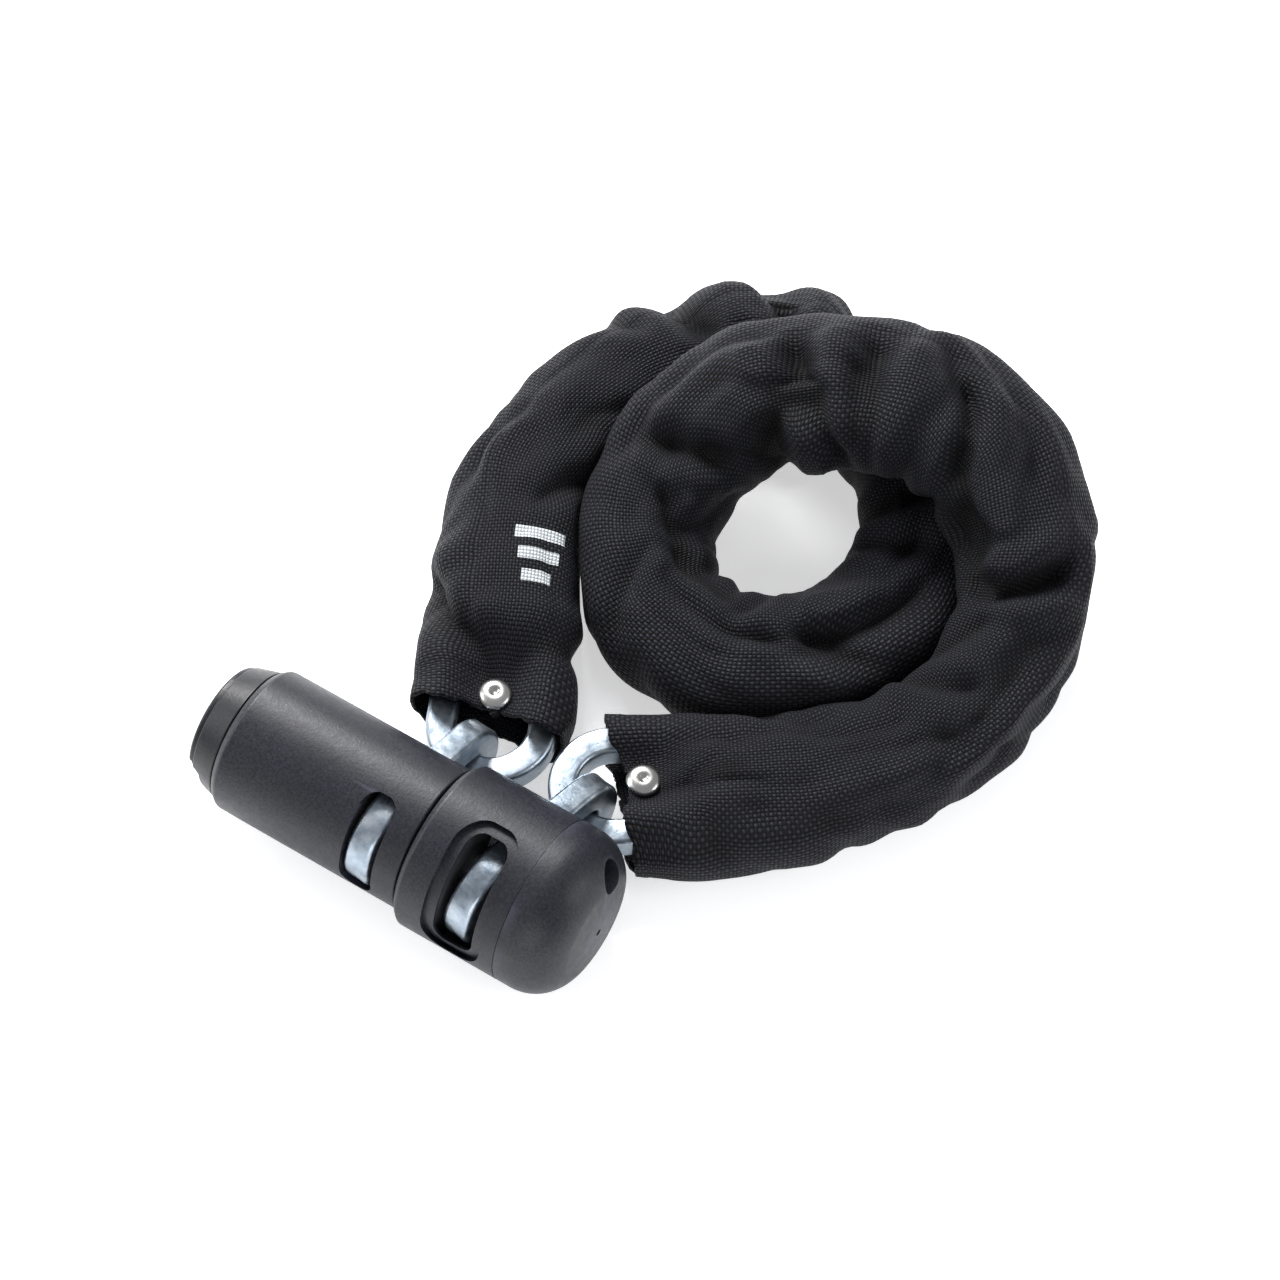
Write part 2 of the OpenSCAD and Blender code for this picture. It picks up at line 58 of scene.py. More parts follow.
CAMERA_LENS = 116.0


# ---------------------------------------------------------------- camera, floor and light

def add_camera():
    azimuth, elevation = math.radians(CAMERA_AZIMUTH), math.radians(CAMERA_ELEVATION)
    right = Vector((math.cos(azimuth), math.sin(azimuth), 0))
    back = Vector((math.sin(azimuth) * math.cos(elevation), -math.cos(azimuth) * math.cos(elevation),
                   math.sin(elevation)))
    up = back.cross(right)
    data = bpy.data.cameras.new("photo_view")
    data.sensor_width = 36.0
    data.lens = CAMERA_LENS
    data.clip_start = 0.05
    cam = bpy.data.objects.new("photo_view", data)
    cam.matrix_world = Matrix((
        (right.x, up.x, back.x, CAMERA_PLACE[0]), (right.y, up.y, back.y, CAMERA_PLACE[1]),
        (right.z, up.z, back.z, CAMERA_PLACE[2]), (0, 0, 0, 1)))
    bpy.context.collection.objects.link(cam)
    bpy.context.scene.camera = cam


def add_light(name, where, target, size, watts):
    data = bpy.data.lights.new(name, "AREA")
    data.shape = "RECTANGLE"
    data.size, data.size_y = size
    data.energy = watts
    lamp = bpy.data.objects.new(name, data)
    lamp.location = where
    lamp.rotation_euler = (Vector(target) - Vector(where)).to_track_quat("-Z", "Y").to_euler()
    bpy.context.collection.objects.link(lamp)


def add_studio():
    floor = mesh_object("floor", [(-6, -6, -0.0005), (6, -6, -0.0005), (6, 6, -0.0005), (-6, 6, -0.0005)],
                        [(0, 1, 2, 3)])
    floor.data.materials.append(floor_material())
    world = bpy.data.worlds.new("studio")
    world.use_nodes = True
    world.node_tree.nodes["Background"].inputs["Color"].default_value = (0.93, 0.95, 1.0, 1)
    world.node_tree.nodes["Background"].inputs["Strength"].default_value = 0.42
    bpy.context.scene.world = world
    add_light("overhead", (-0.60, 0.60, 0.72), (0.02, 0.08, 0), (0.5, 0.4), 24)
    add_light("left", (-0.95, -0.25, 0.55), (0, 0.05, 0.03), (0.6, 0.8), 5.0)
    add_light("front", (0.25, -0.95, 0.35), (0.02, 0, 0.03), (0.9, 0.35), 4.0)
    add_light("right", (1.0, 0.35, 0.5), (0.05, 0.1, 0.03), (0.5, 0.7), 5.0)
    bpy.context.scene.view_settings.view_transform = "Standard"


# ---------------------------------------------------------------- mesh helpers

def mesh_object(name, verts, faces, uvs=None, smooth=False):
    mesh = bpy.data.meshes.new(name)
    mesh.from_pydata([tuple(v) for v in verts], [], faces)
    if uvs is not None:
        layer = mesh.uv_layers.new(name="UVMap")
        loops = np.array([i for f in uvs for i in f], dtype=np.float32).ravel()
        layer.data.foreach_set("uv", loops)
    mesh.validate()
    if smooth:
        mesh.polygons.foreach_set("use_smooth", [True] * len(mesh.polygons))
    mesh.update()
    obj = bpy.data.objects.new(name, mesh)
    bpy.context.collection.objects.link(obj)
    return obj


def face_outwards(obj, weld=False):
    """Turns every face outwards, and first welds the points of a turned shape that meet on its axis."""
    bm = bmesh.new()
    bm.from_mesh(obj.data)
    if weld:
        bmesh.ops.remove_doubles(bm, verts=bm.verts, dist=1e-7)
    bmesh.ops.recalc_face_normals(bm, faces=bm.faces)
    bm.to_mesh(obj.data)
    bm.free()


def apply_modifiers(obj):
    bpy.context.view_layer.update()
    deps = bpy.context.evaluated_depsgraph_get()
    mesh = bpy.data.meshes.new_from_object(obj.evaluated_get(deps))
    obj.modifiers.clear()
    old = obj.data
    obj.data = mesh
    bpy.data.meshes.remove(old)


def shade(obj, angle):
    """Smooth shading, with edges over `angle` degrees left sharp."""
    obj.data.polygons.foreach_set("use_smooth", [True] * len(obj.data.polygons))
    obj.data.set_sharp_from_angle(angle=math.radians(angle))


def turned_faces(count, segments, closed):
    """Faces between `segments` copies of a profile with `count` points."""
    faces = []
    for k in range(segments):
        m = (k + 1) % segments
        for i in range(count if closed else count - 1):
            j = (i + 1) % count
            faces.append((k * count + i, m * count + i, m * count + j, k * count + j))
    return faces


def lathe(name, profile, centre=(0, 0), segments=144):
    """Turns (x, r) points about the barrel's axis. `profile` is closed when it leaves the axis."""
    verts = []
    closed = profile[0][1] > 0 and profile[-1][1] > 0
    for k in range(segments):
        a = 2 * math.pi * k / segments
        for x, r in profile:
            y, z = centre[0] + r * math.cos(a), AXIS_Z + centre[1] + r * math.sin(a)
            verts.append((x * MM, y * MM, z * MM))
    faces = turned_faces(len(profile), segments, closed)
    obj = mesh_object(name, verts, faces)
    face_outwards(obj, weld=True)
    return obj


def rounded_outline(w, l, r, steps=8):
    points = []
    for cx, cy, a0 in ((w / 2 - r, l / 2 - r, 0), (-w / 2 + r, l / 2 - r, 90),
                       (-w / 2 + r, -l / 2 + r, 180), (w / 2 - r, -l / 2 + r, 270)):
        for k in range(steps + 1):
            a = math.radians(a0 + 90 * k / steps)
            points.append((cx + r * math.cos(a), cy + r * math.sin(a)))
    return points


def prism(name, outline, z0, z1, matrix):
    """An outline in mm stood up from z0 to z1, then placed by the matrix."""
    n = len(outline)
    verts = [matrix @ Vector((x, y, z)) * MM for z in (z0, z1) for x, y in outline]
    faces = [tuple(range(n - 1, -1, -1)), tuple(range(n, 2 * n))]
    faces += [(k, (k + 1) % n, n + (k + 1) % n, n + k) for k in range(n)]
    return mesh_object(name, verts, faces)


def cut(obj, *cutters, operation="DIFFERENCE"):
    """Cuts the shapes out of obj and deletes them."""
    for cutter in cutters:
        mod = obj.modifiers.new("cut", "BOOLEAN")
        mod.operation = operation
        mod.solver = "EXACT"
        mod.object = cutter
    apply_modifiers(obj)
    for cutter in cutters:
        bpy.data.objects.remove(cutter)


def soften(obj, width, segments=2):
    """Bevels the sharp edges and keeps the flat faces flat in shading."""
    mod = obj.modifiers.new("soften", "BEVEL")
    mod.width = width * MM
    mod.segments = segments
    mod.limit_method = "ANGLE"
    mod.angle_limit = math.radians(32)
    mod.use_clamp_overlap = True
    apply_modifiers(obj)
    shade(obj, 40)
    mod = obj.modifiers.new("flat", "WEIGHTED_NORMAL")
    mod.keep_sharp = True
    mod.weight = 100
    apply_modifiers(obj)


# ---------------------------------------------------------------- shader helpers

class Shader:
    """A short way to write a node tree."""

    def __init__(self, name, **values):
        self.material = bpy.data.materials.new(name)
        self.material.use_nodes = True
        self.tree = self.material.node_tree
        self.surface = self.tree.nodes["Principled BSDF"]
        for key, value in values.items():
            self.surface.inputs[key.replace("_", " ")].default_value = value

    def node(self, kind, inputs=None, **settings):
        made = self.tree.nodes.new(kind)
        for key, value in settings.items():
            setattr(made, key, value)
        for key, value in (inputs or {}).items():
            self.put(made.inputs[key], value)
        return made

    def put(self, socket, value):
        if isinstance(value, bpy.types.NodeSocket):
            self.tree.links.new(value, socket)
        else:
            socket.default_value = value

    def math(self, operation, a, b=0.0, c=0.0):
        made = self.node("ShaderNodeMath", operation=operation)
        for socket, value in zip(made.inputs, (a, b, c)):
            self.put(socket, value)
        return made.outputs[0]

    def noise(self, scale, detail=3.0, roughness=0.5, vector=None):
        made = self.node("ShaderNodeTexNoise", {"Scale": scale, "Detail": detail, "Roughness": roughness})
        self.put(made.inputs["Vector"], vector or self.where())
        return made.outputs["Fac"]

    def where(self):
        return self.node("ShaderNodeTexCoord").outputs["Object"]

    def spread(self, value, low, high, start=0.0, end=1.0):
        made = self.node("ShaderNodeMapRange", {"Value": value, "From Min": start, "From Max": end,
                                                "To Min": low, "To Max": high})
        return made.outputs["Result"]

    def ramp(self, value, *stops):
        made = self.node("ShaderNodeValToRGB", {"Fac": value})
        elements = made.color_ramp.elements
        while len(elements) < len(stops):
            elements.new(0.5)
        for element, (place, colour) in zip(elements, stops):
            element.position = place
            element.color = (*colour, 1)
        return made.outputs["Color"]

    def mix(self, amount, a, b):
        made = self.node("ShaderNodeMix", data_type="RGBA")
        self.put(made.inputs[0], amount)
        self.put(made.inputs[6], a if isinstance(a, bpy.types.NodeSocket) else (*a, 1))
        self.put(made.inputs[7], b if isinstance(b, bpy.types.NodeSocket) else (*b, 1))
        return made.outputs[2]

    def bump(self, height, distance):
        made = self.node("ShaderNodeBump", {"Height": height, "Distance": distance, "Strength": 1.0})
        return made.outputs["Normal"]

    def out(self, **sockets):
        for key, value in sockets.items():
            self.put(self.surface.inputs[key.replace("_", " ")], value)
        return self.material


def floor_material():
    s = Shader("pale_floor", Roughness=0.75)
    s.surface.inputs["Emission Color"].default_value = (1.0, 1.0, 1.0, 1)
    s.surface.inputs["Emission Strength"].default_value = 0.55
    tone = s.noise(3.0, 2.0)
    return s.out(Base_Color=s.ramp(tone, (0.3, (0.86, 0.865, 0.87)), (0.7, (0.90, 0.90, 0.905))))


def moulded_material(name, dark, light, rough, grain):
    """Fine-grained moulded plastic, lighter where its edges have rubbed."""
    s = Shader(name)
    s.surface.inputs["Specular IOR Level"].default_value = 0.34
    cloud = s.noise(38.0, 3.0)
    fine = s.noise(1500.0, 2.0)
    base = s.mix(s.spread(cloud, 0.0, 1.0, 0.35, 0.65), dark, light)
    base = s.mix(s.spread(fine, 0.0, 1.0, 0.35, 0.65), tuple(0.45 * c for c in dark), base)
    edge = s.node("ShaderNodeNewGeometry").outputs["Pointiness"]
    rubbed = s.math("MULTIPLY", s.spread(edge, 0.0, 1.0, 0.54, 0.62),
                    s.spread(s.noise(90.0, 4.0), 0.0, 0.5, 0.4, 0.7))
    colour = s.mix(rubbed, base, tuple(3.2 * c for c in light))
    scuff = s.noise(420.0, 4.0, 0.7)
    roughness = s.math("ADD", s.spread(scuff, rough - 0.05, rough + 0.07, 0.3, 0.7),
                       s.spread(fine, -0.02, 0.02))
    height = s.math("ADD", s.math("MULTIPLY", fine, 0.6), s.math("MULTIPLY", s.noise(700.0, 2.0), 0.4))
    return s.out(Base_Color=colour, Roughness=roughness, Normal=s.bump(height, grain))


def plated_material():
    """Zinc plate with a blue passivation, slightly pitted and lightly scratched."""
    s = Shader("plated_steel", Metallic=1.0)
    cloud = s.math("MULTIPLY_ADD", s.noise(320.0, 4.0, 0.65), 0.6,
                   s.math("MULTIPLY", s.noise(70.0, 3.0), 0.4))
    tint = s.ramp(cloud, (0.34, (0.22, 0.265, 0.315)), (0.50, (0.32, 0.375, 0.43)),
                  (0.66, (0.46, 0.495, 0.53)))
    stretched = s.node("ShaderNodeMapping", {"Vector": s.where(), "Scale": (1.0, 0.12, 1.0)})
    stretched = stretched.outputs["Vector"]
    lines = s.noise(1500.0, 3.0, 0.6, stretched)
    pits = s.node("ShaderNodeTexVoronoi", {"Vector": s.where(), "Scale": 520.0}).outputs["Distance"]
    pitted = s.spread(pits, 1.0, 0.0, 0.0, 0.22)
    colour = s.mix(s.math("MULTIPLY", pitted, 0.3), tint, (0.14, 0.17, 0.21))
    roughness = s.math("ADD", s.spread(cloud, 0.27, 0.46, 0.3, 0.7), s.spread(lines, -0.05, 0.07))
    height = s.math("ADD", s.math("MULTIPLY", s.noise(240.0, 3.0), 0.8), s.math("MULTIPLY", pitted, -0.2))
    height = s.math("ADD", height, s.math("MULTIPLY", lines, 0.10))
    return s.out(Base_Color=colour, Roughness=roughness, Normal=s.bump(height, 0.00013))


def metal_material(name, low, high, rough, scale=300.0, depth=0.00003):
    """Turned or ground metal, with rings about the barrel's axis."""
    s = Shader(name, Metallic=1.0)
    cloud = s.noise(60.0, 3.0)
    along = s.node("ShaderNodeMapping", {"Vector": s.where(), "Scale": (1.0, 0.05, 0.05)}).outputs["Vector"]
    rings = s.noise(scale * 6, 2.0, 0.5, along)
    roughness = s.math("ADD", s.spread(cloud, rough - 0.06, rough + 0.08, 0.3, 0.7),
                       s.spread(rings, -0.03, 0.05))
    return s.out(Base_Color=s.ramp(cloud, (0.35, low), (0.65, high)), Roughness=roughness,
                 Normal=s.bump(s.math("ADD", rings, s.noise(scale, 3.0)), depth))


# Width of one yarn each way, and the seam's angle round the sleeve
YARN_U, YARN_V = 0.00098, 0.00104
SEAM_ANGLE = 62
# The print: its centre in (u, v), each bar's centre along v and half length along u, and a bar's half width
PRINT_PLACE = (0.0385, 0.0455)
PRINT_BARS = ((-0.0070, 0.0045), (0.0, 0.0060), (0.0070, 0.0075))
PRINT_BAR_HALF = 0.0019


def woven_material(name, printed):
    """Plain weave drawn in the sleeve's own coordinates: u runs round it and v along it, in metres."""
    s = Shader(name, Roughness=0.62)
    s.surface.inputs["Sheen Weight"].default_value = 0.02
    s.surface.inputs["Sheen Roughness"].default_value = 0.4
    s.surface.inputs["Sheen Tint"].default_value = (0.8, 0.82, 0.92, 1)
    s.surface.inputs["Specular IOR Level"].default_value = 0.16
    uv = s.node("ShaderNodeSeparateXYZ", {"Vector": s.node("ShaderNodeUVMap").outputs["UV"]})
    wander = s.math("MULTIPLY", s.math("SUBTRACT", s.noise(28.0, 2.0), 0.5), 0.0022)
    u = s.math("DIVIDE", s.math("ADD", uv.outputs["X"], wander), YARN_U)
    v = s.math("DIVIDE", s.math("SUBTRACT", uv.outputs["Y"], wander), YARN_V)
    both = s.math("ADD", s.math("FLOOR", u), s.math("FLOOR", v))
    over = s.math("GREATER_THAN", s.math("FRACT", s.math("MULTIPLY", both, 0.5)), 0.25)
    across_u = s.math("POWER", s.math("ABSOLUTE", s.math("SINE", s.math("MULTIPLY", u, math.pi))), 0.8)
    across_v = s.math("POWER", s.math("ABSOLUTE", s.math("SINE", s.math("MULTIPLY", v, math.pi))), 0.8)
    warp = s.math("MULTIPLY", across_u, s.math("MULTIPLY_ADD", across_v, 0.6, 0.4))
    weft = s.math("MULTIPLY", across_v, s.math("MULTIPLY_ADD", across_u, 0.6, 0.25))
    cell = s.math("ADD", s.math("MULTIPLY", over, warp),
                  s.math("MULTIPLY", s.math("SUBTRACT", 1.0, over), weft))
    along = s.math("ABSOLUTE", s.math("SUBTRACT", uv.outputs["X"], GIRTH * SEAM_ANGLE / 360))
    dash = s.math("FRACT", s.math("DIVIDE", uv.outputs["Y"], 0.0034))
    stitch = s.math("MULTIPLY", s.math("LESS_THAN", along, 0.00042), s.math("LESS_THAN", dash, 0.74))
    height = s.math("MULTIPLY_ADD", s.noise(5200.0, 1.0), 0.18, cell)
    height = s.math("MULTIPLY_ADD", stitch, 1.4, height)
    # Painted shade: the tops of the yarns take the lit colour, and their sides and the gaps between them a
    # near-black shaded colour.
    cloud = s.noise(26.0, 4.0)
    painted_shade = s.mix(s.spread(cloud, 0.0, 1.0, 0.35, 0.65), (0.0010, 0.0010, 0.0014), (0.0018, 0.0018, 0.0022))
    lit = s.mix(over, (0.0062, 0.0064, 0.0092), (0.0205, 0.0210, 0.0300))
    colour = s.mix(s.spread(cell, 0.0, 1.0, 0.30, 0.95), painted_shade, lit)
    dust = s.math("MULTIPLY", s.spread(s.noise(310.0, 2.0), 0.0, 1.0, 0.66, 0.80), 0.06)
    colour = s.mix(dust, colour, (0.06, 0.06, 0.07))
    colour = s.mix(s.math("MULTIPLY", stitch, 0.35), colour, (0.016, 0.016, 0.019))
    if printed:
        x = s.math("SUBTRACT", uv.outputs["X"], PRINT_PLACE[0])
        y = s.math("SUBTRACT", uv.outputs["Y"], PRINT_PLACE[1])
        bars = 0.0
        for centre, half in PRINT_BARS:
            from_bar = s.math("ABSOLUTE", s.math("SUBTRACT", y, centre))
            inside = s.math("MULTIPLY", s.math("LESS_THAN", from_bar, PRINT_BAR_HALF),
                            s.math("LESS_THAN", s.math("ABSOLUTE", x), half))
            bars = s.math("MAXIMUM", inside, bars)
        ink = s.math("MULTIPLY", bars, s.spread(cell, 0.35, 1.0, 0.02, 0.35))
        colour = s.mix(ink, colour, (0.50, 0.53, 0.55))
    # Painted shade: the cloth's colour is darkened nearly to black in the fold valleys and where turns press
    # together, by the crease attribute.
    crease = s.node("ShaderNodeAttribute", attribute_name="crease").outputs["Fac"]
    colour = s.mix(s.math("MULTIPLY", crease, 0.82), colour, (0.0008, 0.0008, 0.0010))
    roughness = s.spread(cell, 0.80, 0.50, 0.2, 0.9)
    return s.out(Base_Color=colour, Roughness=roughness, Normal=s.bump(height, 0.00042))


# ---------------------------------------------------------------- the sleeve's route

ROUTE = np.array([
    (-10.6, 41.4, 15.3), (-19.9, 61.3, 15.4), (-34, 87, 15.5), (-46, 116, 15.5), (-43, 147, 15.5),
    (-28, 174, 15.5), (-3, 189, 15.5), (26, 188, 15.5), (51, 173, 15.5), (64, 146, 15.5),
    (61, 117, 15.5), (45, 97.5, 15.5), (22, 91, 15.5), (0.8, 102, 16.5), (-9, 125, 24),
    (-1, 152, 39), (26, 168, 50.5), (54, 176, 51), (78, 170, 44.5), (96, 151, 34),
    (102, 124, 23.5), (95, 98, 16.8), (77, 75, 15.5), (52.5, 56.7, 15.4), (29.8, 42.6, 15.3)])
MOUTH_A, MOUTH_A_DIR = (-9.9, 39.9), 115
MOUTH_B, MOUTH_B_DIR = (28.5, 41.8), 32
MOUTH_Z = 15.3
RIVET_REACH = 8.0   # from the mouth to its rivet
SPLIT_S = 214.0     # where the sleeve is parted
LAP = 4.5           # how far the strand's cloth runs on under the coil's
GIRTH = 0.118       # of the cloth, in metres


def smooth_route():
    p = np.vstack([2 * ROUTE[0] - ROUTE[1], ROUTE, 2 * ROUTE[-1] - ROUTE[-2]])
    out = []
    for i in range(1, len(p) - 2):
        a, b, c, d = p[i - 1:i + 3]
        for k in range(24):
            t = k / 24
            out.append((2 * b + (c - a) * t + (2 * a - 5 * b + 4 * c - d) * t ** 2
                        + (3 * b - a - 3 * c + d) * t ** 3) / 2)
    out.append(p[-2])
    out = np.array(out)
    run = np.concatenate([[0], np.cumsum(np.linalg.norm(np.diff(out, axis=0), axis=1))])
    return out, run


LINE, RUN = smooth_route()
LENGTH = float(RUN[-1])
PITCH = 25.55
LINKS = 25
FIRST_LINK = (LENGTH - (LINKS - 1) * PITCH) / 2
JOINTS = [FIRST_LINK + PITCH * (k - 0.5) for k in range(LINKS + 1)]


def at(s):
    return np.stack([np.interp(s, RUN, LINE[:, k]) for k in range(3)], -1)


def centre_line(s):
    """The route as the stiff links inside pull it: nearly straight along each link, bent at each joint."""
    corners = np.array([0.0] + [j for j in JOINTS if 6 < j < LENGTH - 6] + [LENGTH])
    nodes = at(corners)
    total = 0
    for off in np.linspace(-4.5, 4.5, 9):
        q = np.clip(s + off, 0, LENGTH)
        total = total + np.stack([np.interp(q, corners, nodes[:, k]) for k in range(3)], -1)
    line = 0.8 * total / 9 + 0.2 * at(s)
    held = np.clip(np.minimum(s, LENGTH - s) / 22, 0, 1)[:, None]
    return line * held + at(s) * (1 - held)


def chain_reach(s, ang):
    """How far the links inside reach from the route, in mm, over (s, angle)."""
    reach = np.zeros(np.broadcast(s, ang).shape)
    for i in range(1, LINKS + 1):
        u = np.abs(s - (FIRST_LINK + (i - 1) * PITCH))
        half = np.sqrt(np.maximum(13.5 ** 2 - np.maximum(u - 7.2, 0) ** 2, 0))
        roll = 90 * (i % 2) + 45 * ease((min(i, LINKS + 1 - i) - 1) / 3)
        turned = np.radians(ang - roll)
        flat = half / np.maximum(np.abs(np.cos(turned)), 1e-3)
        thick = 3.2 / np.maximum(np.abs(np.sin(turned)), 1e-3)
        reach = np.maximum(reach, np.minimum(flat, thick))
    return reach


def ease(x):
    t = np.clip(x, 0, 1)
    return t * t * (3 - 2 * t)


# Half widths and heights of the cloth along the route: outer side, inner side, above, below
SPREAD = np.array([
    (0, 23.4, 22.6, 8.8, 8.7), (12, 23.4, 21.8, 9.4, 9.0), (30, 22.6, 20.6, 16.2, 15),
    (48, 21.6, 20.4, 17.2, 15.3),
    (66, 20.0, 20.2, 16.6, 15.3), (90, 17.0, 20.2, 16.4, 15.4), (120, 15.8, 20.2, 16.4, 15.4),
    (150, 16.8, 20.4, 16.6, 15.4), (180, 20.0, 21.0, 16.8, 15.4), (200, 20.4, 21.5, 16.8, 15.4),
    (235, 24.0, 19.6, 16.8, 15.4), (275, 24.0, 18.8, 16.8, 15.4), (300, 21.5, 19.0, 16.6, 15.4),
    (345, 21.0, 18.6, 16.8, 15.4), (390, 20.5, 19.0, 17.0, 16.4), (430, 20.5, 20.5, 17.4, 17.2),
    (475, 20.0, 24.4, 16.4, 18.0), (520, 19.0, 24.4, 16.6, 18.0), (550, 16.6, 20.0, 17.2, 17.4),
    (590, 15.8, 19.0, 17.2, 16.0), (620, 17.6, 20.4, 16.6, 15.4), (645, 22.6, 20.6, 16.2, 15.4),
    (664, 25.4, 20.6, 15.0, 15.2), (LENGTH - 12, 25.2, 21.6, 9.6, 9.0), (LENGTH, 24.4, 21.8, 8.8, 8.7)])
# Share of the space between two touching turns that each stretch takes
SHARE = np.array([(0, 1.0), (215, 1.0), (240, 1.2), (290, 1.2), (320, 1.0), (535, 1.0), (555, 0.85),
                  (600, 0.85), (625, 1.0), (700, 1.0)])

# Folds, listed one by one: start (s, angle), end (s, angle), half width, depth; s in mm, angle from the outer
# side.
# A depth below zero is a raised crease.
FOLDS = [
    # From the housing to the start of the coil
    (40, 10, 20, 50, 4.5, 5), (20, 50, 10, 80, 4.5, 4.5), (15, 120, 25, 200, 5, 4.5),
    (65, 120, 80, 155, 4, 3),
    (70, 30, 90, 55, 3.5, 2), (95, 120, 120, 150, 4, 2.5), (120, 20, 130, 70, 4, 3),
    (140, 25, 150, 100, 6, 5.5), (165, 40, 175, 95, 4, 5), (160, 105, 175, 150, 3.5, 3),
    (185, -10, 190, 60, 3.5, 3), (195, 60, 205, 120, 3.5, 3.5),
    # Round the lower turn
    (220, 30, 240, 65, 3.5, 2), (245, 90, 255, 165, 5, 4), (265, 90, 270, 140, 4, 3.5),
    (310, 80, 280, 70, 4, 4), (310, 85, 300, 50, 4, 3.5), (290, 100, 305, 115, 6, -2.5),
    (350, 100, 320, 80, 2.5, 2.5), (320, 80, 305, 50, 2.5, 2), (330, 120, 320, 150, 3.5, 3),
    (365, 120, 340, 125, 3.5, 4.5), (390, 105, 365, 120, 3.5, 4.5), (355, 30, 370, 80, 3.5, 2),
    # Over the far side of the coil
    (405, 75, 415, 135, 4.5, 5), (415, 135, 430, 170, 4.5, 5), (380, 130, 405, 175, 4, 3),
    (400, 45, 440, 60, 3.5, 2), (450, 130, 435, 190, 7, 7), (450, 80, 460, 180, 4.5, 6),
    (465, 110, 465, 160, 4, 4.5), (470, 80, 470, 170, 4, 4), (485, 65, 490, 120, 4, 3),
    (495, 90, 505, 145, 3.5, 6), (505, 145, 530, 145, 4, 5.5), (510, 190, 530, 150, 4.5, 5),
    # Down the near side to the collar
    (530, 160, 550, 135, 5, 6.5), (555, 125, 545, 70, 4, 7), (540, 40, 600, 40, 4.5, -2),
    (565, 120, 580, 150, 4.5, 3), (585, 95, 600, 150, 3.5, 2.5), (600, 65, 625, 85, 4, 2),
    (610, 105, 650, 120, 3.5, 2), (630, 135, 650, 150, 3.5, 2.5), (685, 55, 660, 85, 4, 5),
    (665, 20, 670, 60, 4, 2.5), (660, 120, 675, 140, 3.5, 2.5)]


def turning(s):
    """How sharply the route bends at s, per mm."""
    a, b = at(np.clip(s - 9, 0, LENGTH)), at(np.clip(s + 9, 0, LENGTH))
    m = at(s)
    u, w = m - a, b - m
    u /= np.linalg.norm(u, axis=1)[:, None] + 1e-9
    w /= np.linalg.norm(w, axis=1)[:, None] + 1e-9
    return np.abs(np.cross(u, w)[:, 2]) / 9


def fold_field(s, ang, folds):
    """Height of the cloth over (s, angle), in mm: each fold is a valley with a soft ridge on both sides."""
    x, y = s, np.radians(ang) * 18.0
    total = np.zeros(np.broadcast(s, ang).shape)
    for s0, a0, s1, a1, width, depth in folds:
        p, q = np.array((s0, math.radians(a0) * 18)), np.array((s1, math.radians(a1) * 18))
        d = q - p
        length = float(np.hypot(*d))
        d /= length
        along = (x - p[0]) * d[0] + (y - p[1]) * d[1]
        off = -(x - p[0]) * d[1] + (y - p[1]) * d[0]
        off = off + 2.2 * np.sin(along / 9.0 + s0) * 0.6
        tip = np.clip(np.minimum(along, length - along) / 9.0 + 0.9, 0, 1)
        tip = tip * tip * (3 - 2 * tip)
        valley = 0.4 * np.exp(-(off / width) ** 2) + 0.8 * np.exp(-np.sqrt(off ** 2 + 0.3) / (0.7 * width))
        ridge = np.exp(-((np.abs(off) - 2.0 * width) / (1.2 * width)) ** 2)
        total += depth * tip * (-valley + 0.40 * ridge)
    return total


def random_folds():
    """Creases where each bend gathers the cloth on its inner side, and slack ones over the top."""
    rng = random.Random(11)
    out = []
    for j in JOINTS:
        if not 45 < j < LENGTH - 40:
            continue
        sharp = float(turning(np.array([j]))[0]) * 38
        for _ in range(rng.choice((1, 1, 2))):
            s0 = j + rng.uniform(-9, 9)
            a0 = rng.uniform(112, 150)
            out.append((s0, a0, s0 + rng.uniform(-5, 5), rng.uniform(190, 236), rng.uniform(3.6, 6.0),
                        min(1.0, sharp) * rng.uniform(0.6, 2.4)))
        s0 = j + rng.uniform(-8, 8)
        a0 = rng.uniform(20, 110)
        out.append((s0, a0, s0 + rng.uniform(10, 24), a0 + rng.uniform(-30, 30), rng.uniform(2.6, 4.2),
                    rng.uniform(0.6, 1.5)))
        s0 = j + rng.uniform(-10, 10)
        out.append((s0, rng.uniform(-40, -10), s0 + rng.uniform(4, 16), rng.uniform(5, 30), 3.0,
                    rng.uniform(0.6, 1.2)))
    return out


def slack(s, a):
    """Loose cloth between the links: soft swells, with sharp valleys where they meet."""
    place = Vector((s / 23, math.cos(a) * 1.05, math.sin(a) * 1.05))
    swell = noise.noise(place)
    crease = abs(noise.noise(place * 1.35 + Vector((7.1, 2.3, 0.4))))
    return 0.8 * swell + 2.6 * min(crease, 0.42) - 0.55


SIDES = 92
STEP = 1.5
RING_SPAN = 12      # a ring stands square to the route over this far each way
CLOTH_GAP = 2.9     # the cloth's outer face stays this far outside the links
TURN_APART = 78     # rings nearer than this along the route belong to the same turn
TURN_REACH = 62     # and rings farther apart than this don't touch


def soft_step(x, soft):
    """x where it is above zero and 0 below, rounded over `soft` on both sides."""
    return np.where(x > soft, x, np.where(x > -soft, (x + soft) ** 2 / (4 * soft), 0))


def ring_directions(s):
    """For each ring: along the route, to the outer side, and up."""
    ahead = at(np.clip(s + RING_SPAN, 0, LENGTH)) - at(np.clip(s - RING_SPAN, 0, LENGTH))
    t = ahead / np.linalg.norm(ahead, axis=1)[:, None]
    n = np.stack([-t[:, 1], t[:, 0], 0 * t[:, 0]], 1)
    n /= np.linalg.norm(n, axis=1)[:, None]
    return t, n, np.cross(t, n)


